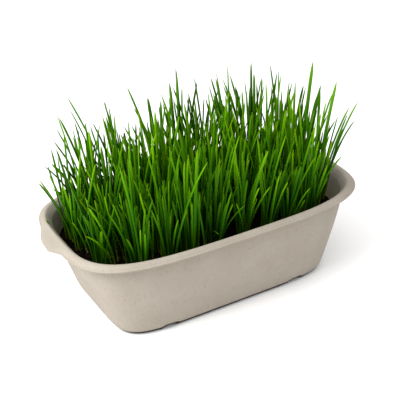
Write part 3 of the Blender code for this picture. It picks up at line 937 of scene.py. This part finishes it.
HUSKS_BY_TUFT = 2
HUSK_ASIDE = (2, 8)
HUSK_MARGIN = 5 * MM
HUSK_LENGTHS = (5, 6.5)
HUSK_RADII = (1.2, 1.6)
HUSK_RINGS = 6
HUSK_SIDES = 8


def make_husks():
    """Wheat seeds that lie half sunk round the stems' feet."""
    draw = random.Random(SEED + 9)
    verts, faces = [], []
    for x, y in tuft_centres():
        for _ in range(HUSKS_BY_TUFT):
            angle, reach = draw.uniform(0, math.tau), draw.uniform(*HUSK_ASIDE) * MM
            px, py = x + reach * math.cos(angle), y + reach * math.sin(angle)
            if inside_soil(px, py, HUSK_MARGIN):
                add_seed(draw, Vector((px, py, crumbly_height(px, py) + 0.5 * MM)), verts, faces)
    husks = add_mesh("seed_husks", verts, faces, husk_material())
    dress(husks, "soil")


def add_seed(draw, centre, verts, faces):
    """Adds one seed: a spindle that lies nearly level."""
    start, rings, count = len(verts), HUSK_RINGS, HUSK_SIDES
    length, radius = draw.uniform(*HUSK_LENGTHS) * MM, draw.uniform(*HUSK_RADII) * MM
    turn, tip = draw.uniform(0, math.tau), draw.uniform(-0.5, 0.5)
    way = Vector((math.cos(turn) * math.cos(tip), math.sin(turn) * math.cos(tip), math.sin(tip)))
    side = way.cross(Vector((0, 0, 1))).normalized()
    over = side.cross(way)
    for r in range(1, rings):
        t = r / rings
        size = radius * math.sin(math.pi * t) ** 0.7
        for k in range(count):
            a = math.tau * k / count
            reach = side * (size * math.cos(a)) + over * (size * math.sin(a))
            verts.append(centre + way * (length * (t - 0.5)) + reach)
    for r in range(rings - 2):
        for k in range(count):
            low, high = start + r * count, start + (r + 1) * count
            faces.append((low + k, low + (k + 1) % count, high + (k + 1) % count, high + k))
    faces.append(tuple(start + k for k in range(count))[::-1])
    faces.append(tuple(start + (rings - 2) * count + k for k in range(count)))


# Stage

FLOOR_HALF = 4.0
CAMERA_AT = (-0.3522, -0.5780, 0.4685)
CAMERA_AIM = (0.0637, 0.1051, 0.0)
CAMERA_LENS = 85
SENSOR_WIDTH = 36
KEY_AT = (-0.58, -0.08, 0.58)
KEY_AIM = (0, 0, 0.08)
KEY_SIZE = 0.4
KEY_POWER = 5.6
SUN_FROM = (-0.35, 0.0, 0.9)
SUN_SOFTNESS = 90
SUN_STRENGTH = 0.95
WORLD_STRENGTH = 0.95


def make_floor():
    made, shader = shader_nodes("floor", 0.9, Specular_IOR_Level=0.1)
    tree = made.node_tree
    tint = node(tree, "TexNoise", Scale=0.6)
    colour = ramp(tree, tint.outputs["Fac"], ((0.0, (0.95, 0.95, 0.95)), (1.0, (0.97, 0.97, 0.97))))
    tree.links.new(colour, shader.inputs["Base Color"])
    corners = [(x * FLOOR_HALF, y * FLOOR_HALF, 0) for x, y in ((-1, -1), (1, -1), (1, 1), (-1, 1))]
    floor = add_mesh("floor", corners, [(0, 1, 2, 3)], made)


def add_light(name, place, aim, size, power):
    data = bpy.data.lights.new(name, "AREA")
    data.shape = "DISK"
    data.size = size
    data.energy = power
    made = bpy.data.objects.new(name, data)
    made.location = place
    made.rotation_euler = (Vector(aim) - Vector(place)).to_track_quat("-Z", "Y").to_euler()
    bpy.context.scene.collection.objects.link(made)


def add_sun(name, way, softness, strength):
    data = bpy.data.lights.new(name, "SUN")
    data.angle = math.radians(softness)
    data.energy = strength
    made = bpy.data.objects.new(name, data)
    made.rotation_euler = Vector(way).to_track_quat("Z", "Y").to_euler()
    bpy.context.scene.collection.objects.link(made)


def make_stage():
    make_floor()
    add_light("key", KEY_AT, KEY_AIM, KEY_SIZE, KEY_POWER)
    add_sun("top", SUN_FROM, SUN_SOFTNESS, SUN_STRENGTH)
    world = bpy.data.worlds.new("studio")
    bpy.context.scene.world = world
    world.use_nodes = True
    background = world.node_tree.nodes["Background"]
    background.inputs["Color"].default_value = (1, 1, 1, 1)
    background.inputs["Strength"].default_value = WORLD_STRENGTH
    data = bpy.data.cameras.new("camera")
    data.lens = CAMERA_LENS
    data.sensor_width = SENSOR_WIDTH
    data.clip_start = 0.01
    camera = bpy.data.objects.new("camera", data)
    camera.location = CAMERA_AT
    camera.rotation_euler = (Vector(CAMERA_AIM) - Vector(CAMERA_AT)).to_track_quat("-Z", "Y").to_euler()
    bpy.context.scene.collection.objects.link(camera)
    bpy.context.scene.camera = camera
    bpy.context.scene.view_settings.view_transform = "Standard"


make_stage()
make_tray()
make_soil()
make_crumbs()
make_grass()
make_stray_leaves()
make_husks()
